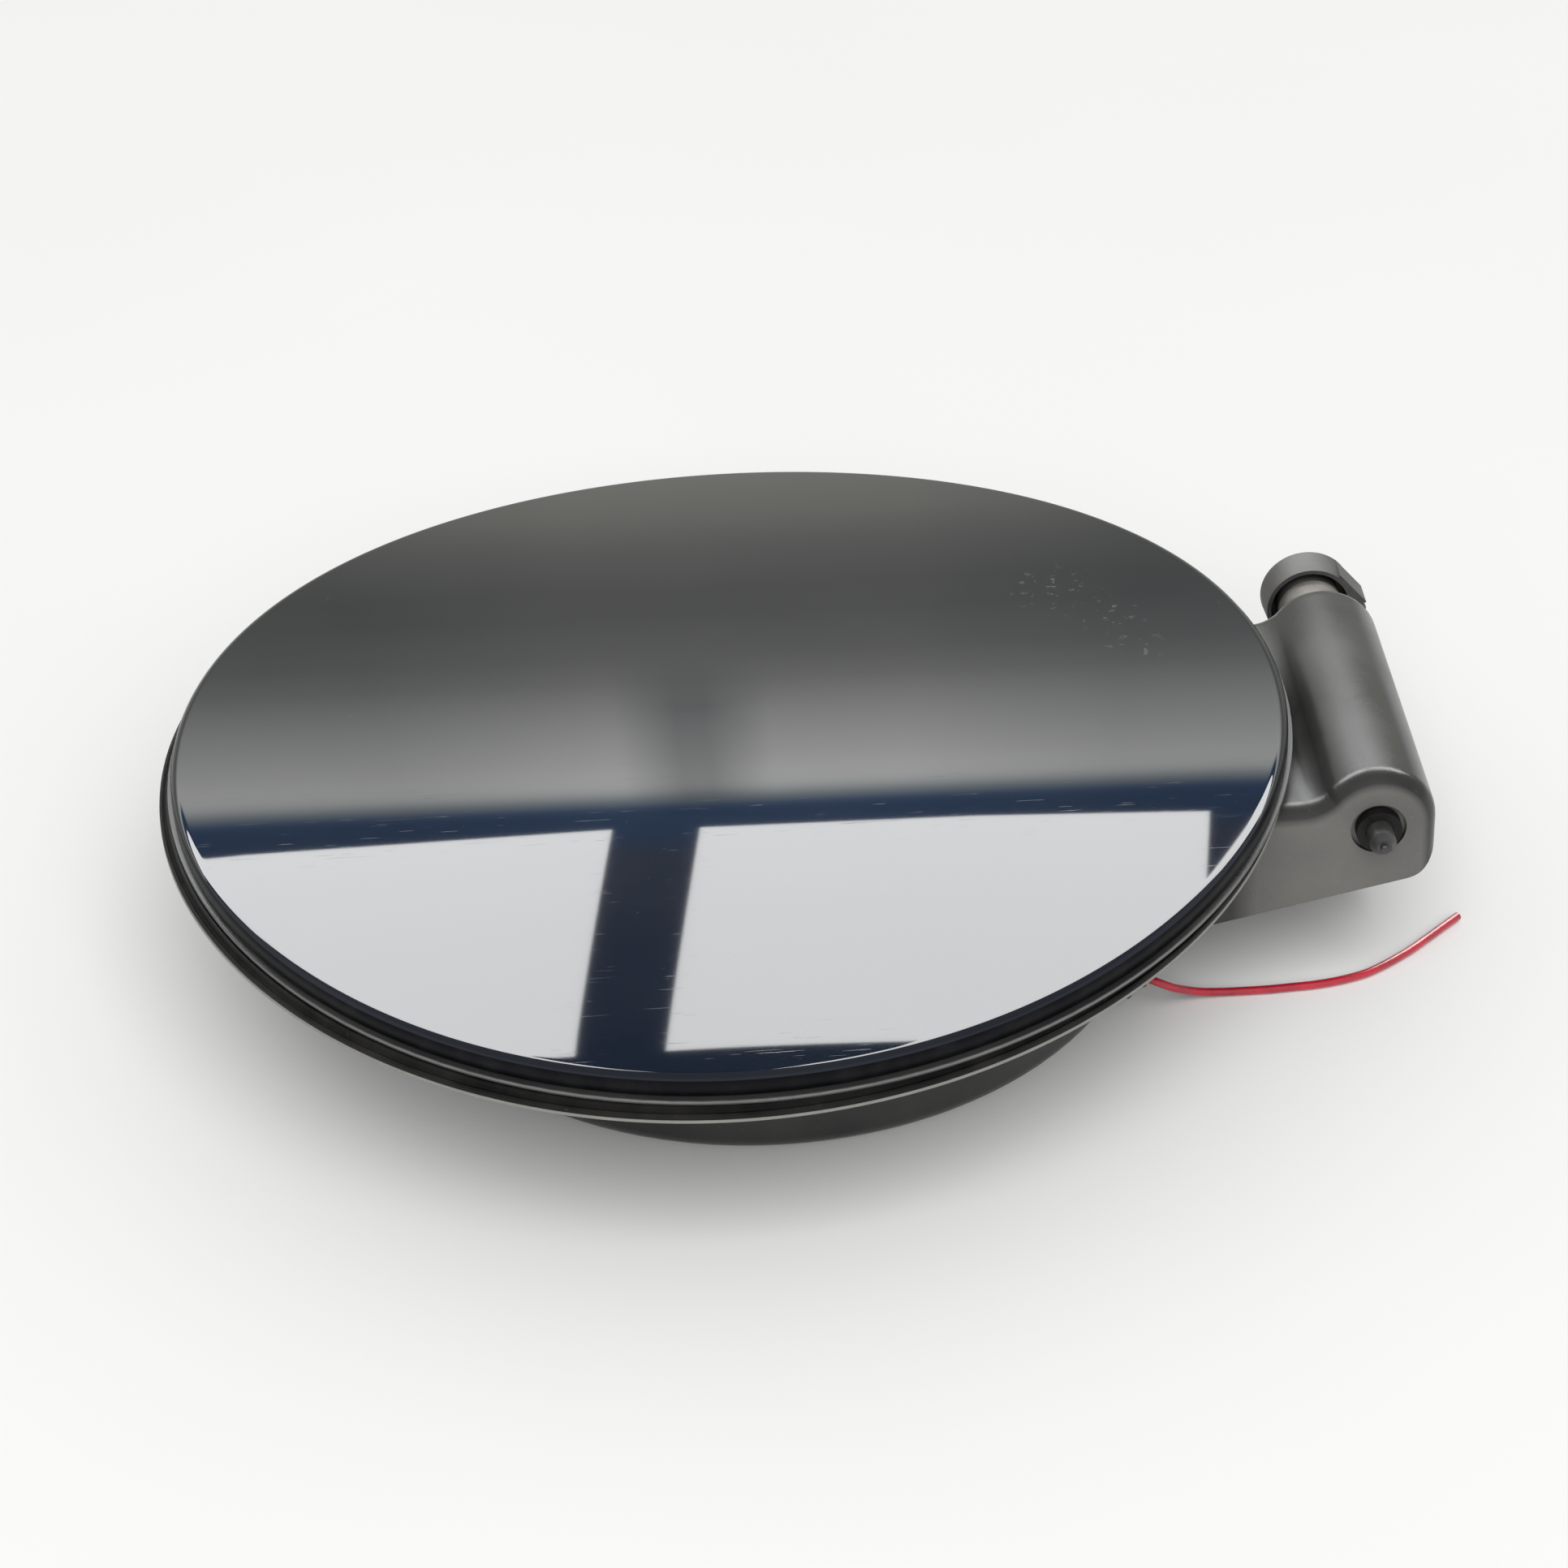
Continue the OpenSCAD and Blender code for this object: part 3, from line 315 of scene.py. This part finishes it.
def leadRed(look):
    mat, tree = newMaterial("leadRed")
    shader = tree.nodes["Principled BSDF"]
    here = objectCoords(tree)
    stain = remap(tree, noise(tree, here, 0.004, 4), 0.35, 0.7)
    dark = tuple(c * 0.62 for c in look["colour"])
    tree.links.new(mixColour(tree, stain, look["colour"], dark), shader.inputs["Base Color"])
    tree.links.new(remap(tree, stain, 0, 1, 0.24, 0.40), shader.inputs["Roughness"])
    shader.inputs["Coat Weight"].default_value, shader.inputs["Coat Roughness"].default_value = look["coat"]
    tree.links.new(bump(tree, noise(tree, here, 0.0008, 2), 0.00001), shader.inputs["Normal"])
    return mat


def copperStrands(look):
    mat, tree = newMaterial("copperStrands")
    shader = tree.nodes["Principled BSDF"]
    here = objectCoords(tree)
    dull = remap(tree, noise(tree, here, 0.0003, 3), 0.4, 0.7)
    tree.links.new(mixColour(tree, dull, look["copper"], look["dullCopper"]), shader.inputs["Base Color"])
    shader.inputs["Metallic"].default_value = 1
    tree.links.new(remap(tree, dull, 0, 1, 0.25, 0.5), shader.inputs["Roughness"])
    return mat


materials = {name: plainFinish(name, look) for name, look in finishes.items()}
materials["bodyPaint"] = bodyPaint(paint)
materials["shadedEdgePaint"] = shadedEdgePaint(paint)
materials["leadRed"] = leadRed(lead)
materials["copperStrands"] = copperStrands(lead)
print("materials made:", len(materials))

# ---- the red lead


def smoothRoute(points, steps):
    # an even curve through the route's points
    p = [Vector(q) * mm for q in points]
    p = [p[0] * 2 - p[1]] + p + [p[-1] * 2 - p[-2]]
    line = []
    for i in range(1, len(p) - 2):
        for s in range(steps):
            t = s / steps
            a, b, c, d = p[i - 1], p[i], p[i + 1], p[i + 2]
            line.append(0.5 * (2 * b + (c - a) * t + (2 * a - 5 * b + 4 * c - d) * t * t
                               + (3 * b - a - 3 * c + d) * t * t * t))
    line.append(p[-2])
    return line


def makeWire(name, line, diameter, material, sides):
    data = bpy.data.curves.new(name, "CURVE")
    data.dimensions = "3D"
    data.bevel_depth = diameter / 2
    data.bevel_resolution = sides
    data.use_fill_caps = True
    spline = data.splines.new("POLY")
    spline.points.add(len(line) - 1)
    for point, place in zip(spline.points, line):
        point.co = (*place, 1)
        point.radius = 1
    spline.use_smooth = True
    obj = bpy.data.objects.new(name, data)
    scene.collection.objects.link(obj)
    data.materials.append(materials[material])
    return obj


leadLine = smoothRoute(lead["route"], 6)
redLead = makeWire("redLead", leadLine, lead["diameter"], "leadRed", 6)
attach(redLead, "housing")
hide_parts("red_lead")


def linkMesh(name, bm, material, body, sharp=35):
    mesh = bpy.data.meshes.new(name)
    bm.to_mesh(mesh)
    bm.free()
    mesh.shade_smooth()
    mesh.set_sharp_from_angle(angle=math.radians(sharp))
    obj = bpy.data.objects.new(name, mesh)
    scene.collection.objects.link(obj)
    mesh.materials.append(materials[material])
    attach(obj, body)
    return obj


def alongLine(bm, start, end, radius, sides=16):
    # a round bar between two points
    way = Vector(end) - Vector(start)
    turn = way.to_track_quat("Z", "Y").to_matrix().to_4x4()
    bmesh.ops.create_cone(bm, cap_ends=True, segments=sides, radius1=radius, radius2=radius,
                          depth=way.length,
                          matrix=Matrix.Translation((Vector(start) + Vector(end)) / 2) @ turn)


def makeLeadEnds():
    bm = bmesh.new()
    alongLine(bm, Vector(lead["inside"][0]) * mm, Vector(lead["inside"][1]) * mm, lead["diameter"] / 2)
    linkMesh("leadInside", bm, "leadRed", "housing")
    bm = bmesh.new()
    end, before = leadLine[-1], leadLine[-4]
    way = (end - before).normalized()
    side = way.cross(Vector((0, 0, 1))).normalized()
    up = side.cross(way)
    strands = lead["strands"]
    for k in range(strands["ring"] + 1):
        a = k * math.tau / strands["ring"]
        reach = 0 if k == strands["ring"] else strands["reach"]
        middle = end + side * math.cos(a) * reach + up * math.sin(a) * reach
        alongLine(bm, middle - way * strands["deep"], middle + way * strands["proud"], strands["radius"], 8)
    return linkMesh("leadStrands", bm, "copperStrands", "housing")


leadStrands = makeLeadEnds()

# ---- flap skin and rim seal, turned and then bent to the body side

body = {"crown": 42.6 * mm, "bow": 770 * mm}


def bow(y):
    return body["bow"] - math.sqrt(body["bow"] ** 2 - y * y)


def turnedRing(profile, closed, steps, shift=0, gap=0):
    # profile of (radius, depth below the body side), spun about an axis beside the neck's,
    # with a gap of some degrees either side of the hinge where one is asked for
    bm = bmesh.new()
    points = [bm.verts.new((r * mm, 0, -d * mm)) for r, d in profile]
    pairs = list(zip(points, points[1:])) + ([(points[-1], points[0])] if closed else [])
    edges = [bm.edges.new(pair) for pair in pairs]
    geom = points + edges + ([bm.faces.new(points)] if gap else [])
    if gap:
        bmesh.ops.rotate(bm, cent=(0, 0, 0), matrix=Matrix.Rotation(math.radians(gap), 3, "Z"), verts=points)
    bmesh.ops.spin(bm, geom=geom, cent=(0, 0, 0), axis=(0, 0, 1), angle=math.tau - 2 * math.radians(gap),
                   steps=steps, use_merge=not gap)
    bmesh.ops.remove_doubles(bm, verts=bm.verts, dist=1e-7)
    for v in bm.verts:
        v.co.x += shift * mm
        v.co.z += body["crown"] - bow(v.co.y)
    bmesh.ops.recalc_face_normals(bm, faces=bm.faces)
    return bm


skin = {
    "radius": 90, "round": 1.5, "rim": 3.0, "sheet": 1.0,
    "cut": 0.12,  # chamfer of the sheet's cut edge
    "dull": 0.62,  # the edge takes the near-black painted shade where it faces up less than this
    "steps": 360,
}


def makeSkin(s):
    edge, cut = s["radius"] - s["round"], s["cut"]
    profile = [(edge * k / 14, 0) for k in range(14)] + [(edge - 0.6, 0), (edge - 0.15, 0)]
    for k in range(13):
        a = math.radians(7.5 * k)
        profile.append((edge + s["round"] * math.sin(a), s["round"] * (1 - math.cos(a))))
    inside = s["radius"] - s["sheet"]
    profile += [(s["radius"], s["rim"] - cut), (s["radius"] - cut, s["rim"]),
                (inside + cut, s["rim"]), (inside, s["rim"] - cut)]
    inner = s["round"] - s["sheet"]
    for k in range(6, -1, -1):
        a = math.radians(15 * k)
        profile.append((edge + inner * math.sin(a), s["round"] - inner * math.cos(a)))
    profile += [(edge * k / 8, s["sheet"]) for k in range(7, 0, -1)] + [(0, s["sheet"])]
    obj = linkMesh("flapSkin", turnedRing(profile, False, s["steps"]), "bodyPaint", "flap", 50)
    # painted shade: faces of the turned-down edge that face up less than s["dull"] take the near-black edge
    # paint
    obj.data.materials.append(materials["shadedEdgePaint"])
    for face in obj.data.polygons:
        face.material_index = int(face.normal.z < s["dull"])
    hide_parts("flap_skin")


makeSkin(skin)

hem = {"inner": 89.9, "outer": 90.74, "top": 3.2, "low": 3.92, "round": 0.3, "steps": 300}


def roundedProfile(inner, outer, top, low, r):
    # a bar's section with rounded corners, as (radius, depth)
    corners = [(inner + r, low - r, 90), (inner + r, top + r, 180),
               (outer - r, top + r, 270), (outer - r, low - r, 0)]
    return [(x + r * math.cos(math.radians(a + 22.5 * k)), z + r * math.sin(math.radians(a + 22.5 * k)))
            for x, z, a in corners for k in range(5)]


def makeHem(h):
    # edge of the sheet where it is folded about the carrier, in a light grey that paints the highlight along
    # the fold
    bm = turnedRing(roundedProfile(h["inner"], h["outer"], h["top"], h["low"], h["round"]), True, h["steps"])
    linkMesh("hemEdge", bm, "highlitHem", "flap", 50)


makeHem(hem)

seal = {
    "outer": 91.2, "split": 89.0, "inner": 84.2,  # radii of the lip, its root and the base
    "face": 6.88, "top": 5.2, "bead": 0.6,
    # the lip's outer side, as (in from the outer radius, below the top)
    "side": [(0.95, 0.3), (0.8, 0.42), (0.62, 0.3), (0.45, 0.16), (0.25, 0.14), (0.1, 0.26), (0.05, 0.5),
             (0.12, 1.0)],
    "shift": -1.2,  # away from the hinge
    "gap": 7.6,  # degrees either side of the hinge where the base gives way to the gooseneck
    "steps": 300,
}


def makeSeal(s):
    o, i, top, low = s["outer"], s["split"], s["top"], s["face"]
    lip = [(i, low), (i, top + 0.3), (i + 0.06, top + 0.1)]
    for k in range(9):  # the bead that meets the flap
        a = math.radians(180 - 22.5 * k)
        lip.append((i + 0.62 + 0.5 * math.cos(a), top - s["bead"] * math.sin(a)))
    lip += [(o - x, top + depth) for x, depth in s["side"]] + [(o - 0.2, low - 0.5), (o - 0.2, low)]
    made = [linkMesh("sealLip", turnedRing(lip, True, s["steps"], s["shift"]), "sealRubber", "housing",
                     40)]
    # painted highlight: a thin light grey ring along the lip's outer lower edge
    edge = roundedProfile(o - 0.6, o, low - 0.5, low, 0.2)
    made.append(linkMesh("sealEdge", turnedRing(edge, True, s["steps"], s["shift"]), "dustAndHighlightRubber", "housing",
                         50))
    base = [(s["inner"], low), (s["inner"], top + 0.5), (s["inner"] + 0.15, top + 0.15),
            (s["inner"] + 0.5, top), (i + 0.05, top), (i + 0.05, low)]
    made.append(linkMesh("sealBase", turnedRing(base, True, s["steps"], s["shift"], s["gap"]), "sealRubber",
                         "housing", 40))
    for obj in made:
        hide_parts("rim_seal")


makeSeal(seal)
print("flap skin and rim seal made")

# ---- finishes on the CAD nodes

nodeFinish = {
    "pocket": "moulding", "flap_carrier": "moulding", "neck_collar": "softRubber",
    # near_bush takes the painted-shade nylon, near black for the shadow round the pin
    "collar_ring": "zincSteel", "near_bush": "shadedNylon", "far_bush": "bushNylon",
    "hinge_pin": "pinSteel", "pin_head": "darkNylon", "hinge_spring": "springSteel",
    "bump_stop_near": "softRubber", "bump_stop_far": "softRubber", "lock_drive": "driveCase",
    "lock_cover": "driveCase", "lock_pin": "zincSteel", "lock_gasket": "softRubber",
    "drive_screw_near": "screwSteel", "drive_screw_far": "screwSteel", "door_switch": "driveCase",
    "switch_plunger": "paleNylon", "lead_grommet": "softRubber", "red_lead": "leadRed",
    "flap_skin": "bodyPaint", "rim_seal": "sealRubber", "arm_bush_near": "paleNylon",
    "arm_bush_far": "paleNylon", "striker": "zincSteel", "striker_rivet": "screwSteel",
    "cap_holder": "darkNylon", "skin_stud_1": "screwSteel", "skin_stud_2": "screwSteel",
    "skin_stud_3": "screwSteel", "skin_stud_4": "screwSteel",
}
smoothing = {"merge": 0.000002, "angle": 32}


def dressNode(name, finish):
    obj = nodes[name]
    obj.data.materials.clear()
    obj.data.materials.append(materials[finish])
    weld = obj.modifiers.new("weld", "WELD")
    weld.merge_threshold = smoothing["merge"]
    split = obj.modifiers.new("edges", "EDGE_SPLIT")
    split.split_angle = math.radians(smoothing["angle"])
    for face in obj.data.polygons:
        face.use_smooth = True


for nodeName, finishName in nodeFinish.items():
    dressNode(nodeName, finishName)
print("CAD nodes dressed:", len(nodeFinish))

# ---- floor, light and the room that the gloss mirrors

studio = {
    "floor": (0.855, 0.857, 0.850),
    "floorRoughness": 0.55,
    "floorDrop": 0.00005,  # below the part, so that the two don't flicker
    "sky": (1.0, 0.998, 0.992),
    "skyStrength": 0.59,
    "lights": [  # name, place, size, power
        ("frontSky", (0.3, -3.0, 3.4), 4.0, 182),
        ("window", (-0.3, 2.2, 2.4), 1.8, 2),
    ],
    "wall": 2.5,  # distance of the mirrored wall
    "panes": [  # x, z corners on that wall
        [(-4.0, 2.08), (-0.587, 2.078), (-0.154, 2.066), (-0.247, 3.085), (-0.300, 3.080),
         (-0.262, 3.30), (-0.28, 4.6), (-4.0, 4.6)],
        [(-0.063, 2.078), (0.224, 2.101), (0.473, 2.141), (0.488, 2.432), (0.525, 3.118), (0.60, 4.6),
         (0.02, 4.6), (0.055, 3.36), (0.177, 3.111), (-0.135, 3.093)],
        [(0.525, 2.150), (4.0, 2.40), (4.0, 4.6), (0.60, 4.6), (0.525, 3.118), (0.487, 2.440)],
    ],
    "paneLevels": (2.05, 3.05, 10.0, 11.6),  # from height, to height, level there
    "wallLean": 0.07,  # slope of the sill
    "rampTop": 4.0,  # height at the end of the ramp, and the ramp's brightest level
    # height in metres, red, green, blue
    "wallLevels": [(0.0, 0.5, 0.5, 0.46), (0.70, 0.88, 0.88, 0.78), (0.86, 0.82, 0.83, 0.71),
                   (1.00, 0.66, 0.66, 0.59), (1.15, 0.58, 0.58, 0.51), (1.25, 0.63, 0.63, 0.56),
                   (1.40, 0.86, 0.86, 0.78), (1.50, 1.20, 1.20, 1.11), (1.60, 1.80, 1.81, 1.70),
                   (1.70, 2.42, 2.44, 2.32), (1.80, 3.1, 3.12, 2.98), (1.87, 3.65, 3.68, 3.52),
                   (1.915, 3.70, 3.76, 3.64), (1.942, 2.9, 3.0, 2.95), (1.972, 1.4, 1.6, 1.7),
                   (2.000, 0.45, 0.68, 1.05), (2.020, 0.24, 0.42, 0.76), (2.12, 0.22, 0.38, 0.66),
                   (2.20, 0.30, 0.36, 0.45), (2.65, 0.20, 0.26, 0.35), (3.10, 0.13, 0.21, 0.30),
                   (4.0, 0.10, 0.18, 0.28)],
    "wallSides": (0.15, 0.36, 1.18, 0.93),  # from x, to x, level there
    # soft shade below the middle bar: it fades in over two heights and out over two more
    "barShade": {"x": -0.06, "core": 0.015, "reach": 0.075, "deep": 0.40,
                 "fadeIn": (1.40, 1.60), "fadeOut": (1.95, 2.05)},
    "wallTop": 4.8,
    "overhead": 0.42,  # level of the dark room above, as gloss sees it
}


def stageMesh(name, bm, material):
    mesh = bpy.data.meshes.new(name)
    bm.to_mesh(mesh)
    bm.free()
    obj = bpy.data.objects.new(name, mesh)
    scene.collection.objects.link(obj)
    mesh.materials.append(material)
    return obj


def makeFloor(s):
    mat, tree = newMaterial("paleTable")
    shader = tree.nodes["Principled BSDF"]
    here = objectCoords(tree)
    cloud = remap(tree, noise(tree, here, 0.25, 3), 0.3, 0.7)
    tree.links.new(mixColour(tree, cloud, s["floor"], tuple(c * 0.975 for c in s["floor"])),
                   shader.inputs["Base Color"])
    shader.inputs["Roughness"].default_value = s["floorRoughness"]
    shader.inputs["Specular IOR Level"].default_value = 0.0
    bm = bmesh.new()
    bmesh.ops.create_grid(bm, x_segments=1, y_segments=1, size=4,
                          matrix=Matrix.Translation((0, 0, -s["floorDrop"])))
    return stageMesh("table", bm, mat)


def glowing(name, colour, strength):
    mat, tree = newMaterial(name)
    tree.nodes.remove(tree.nodes["Principled BSDF"])
    glow = addNode(tree, "ShaderNodeEmission")
    glow.inputs["Color"].default_value = (*colour, 1)
    glow.inputs["Strength"].default_value = strength
    tree.links.new(glow.outputs[0], tree.nodes["Material Output"].inputs["Surface"])
    return mat, tree, glow


def onlyMirrored(obj):
    obj.visible_camera = False
    obj.visible_diffuse = False
    obj.visible_shadow = False
    obj.visible_transmission = False
    obj.visible_volume_scatter = False


def heightOf(tree, lean=0.0):
    # height on the mirrored wall, measured along its leaning sill
    place = addNode(tree, "ShaderNodeSeparateXYZ")
    tree.links.new(objectCoords(tree), place.inputs[0])
    rise = maths(tree, "MULTIPLY", place.outputs["X"], lean)
    return maths(tree, "SUBTRACT", place.outputs["Z"], rise), place


def card(name, corners, material):
    bm = bmesh.new()
    bm.faces.new([bm.verts.new(c) for c in corners])
    onlyMirrored(stageMesh(name, bm, material))


def makeRoom(s):
    pane, tree, glow = glowing("paneLight", (0.99, 1.0, 1.0), 1)
    height, place = heightOf(tree)
    # what stands higher is mirrored more steeply, so it glows more
    tree.links.new(remap(tree, height, *s["paneLevels"]), glow.inputs["Strength"])
    for k, corners in enumerate(s["panes"]):
        card("pane%d" % (k + 1), [(x, s["wall"] - 0.01, z) for x, z in corners], pane)
    wall, tree, glow = glowing("wallLight", (1.0, 1.0, 1.0), 1)
    height, place = heightOf(tree, s["wallLean"])
    ramp = addNode(tree, "ShaderNodeValToRGB")
    top, levels = s["rampTop"], s["wallLevels"]
    tree.links.new(remap(tree, height, 0.0, top), ramp.inputs["Fac"])
    marks = ramp.color_ramp.elements
    for level in levels[1:-1]:
        marks.new(level[0] / top)
    for mark, (markHeight, *colour) in zip(marks, levels):
        mark.position = markHeight / top
        mark.color = (*(c / top for c in colour), 1)
    across = place.outputs["X"]
    sides = remap(tree, maths(tree, "ABSOLUTE", across, 0), *s["wallSides"])
    bar = s["barShade"]
    beside = maths(tree, "ABSOLUTE", maths(tree, "SUBTRACT", across, bar["x"]), 0)
    shade = maths(tree, "MULTIPLY", remap(tree, beside, bar["core"], bar["reach"], 1, 0),
                  remap(tree, height, *bar["fadeIn"], 0, bar["deep"]))
    shade = maths(tree, "MULTIPLY", shade, remap(tree, height, *bar["fadeOut"], 1, 0))
    level = maths(tree, "MULTIPLY", sides, maths(tree, "SUBTRACT", 1, shade))
    tree.links.new(ramp.outputs["Color"], glow.inputs["Color"])
    tree.links.new(maths(tree, "MULTIPLY", level, top), glow.inputs["Strength"])
    outline = ((-5, -0.5), (5, -0.5), (5, s["wallTop"]), (-5, s["wallTop"]))
    card("mirroredWall", [(x, s["wall"], z) for x, z in outline], wall)
    dark, tree, glow = glowing("roomLight", (1.0, 1.0, 0.95), s["overhead"])
    card("overhead", [(x, y, s["wallTop"]) for x, y in ((-4, -3), (4, -3), (4, 2.6), (-4, 2.6))], dark)


def makeLight(s):
    world = bpy.data.worlds.new("softRoom")
    scene.world = world
    world.use_nodes = True
    sky = world.node_tree.nodes["Background"]
    sky.inputs["Color"].default_value = (*s["sky"], 1)
    sky.inputs["Strength"].default_value = s["skyStrength"]
    for name, place, size, power in s["lights"]:
        data = bpy.data.lights.new(name, "AREA")
        data.shape = "SQUARE"
        data.size = size
        data.energy = power
        lamp = bpy.data.objects.new(name, data)
        lamp.location = place
        lamp.rotation_euler = (-Vector(place)).to_track_quat("-Z", "Y").to_euler()
        lamp.visible_glossy = False
        scene.collection.objects.link(lamp)


makeFloor(studio)
makeRoom(studio)
makeLight(studio)
scene.view_settings.view_transform = "Standard"
print("studio made")
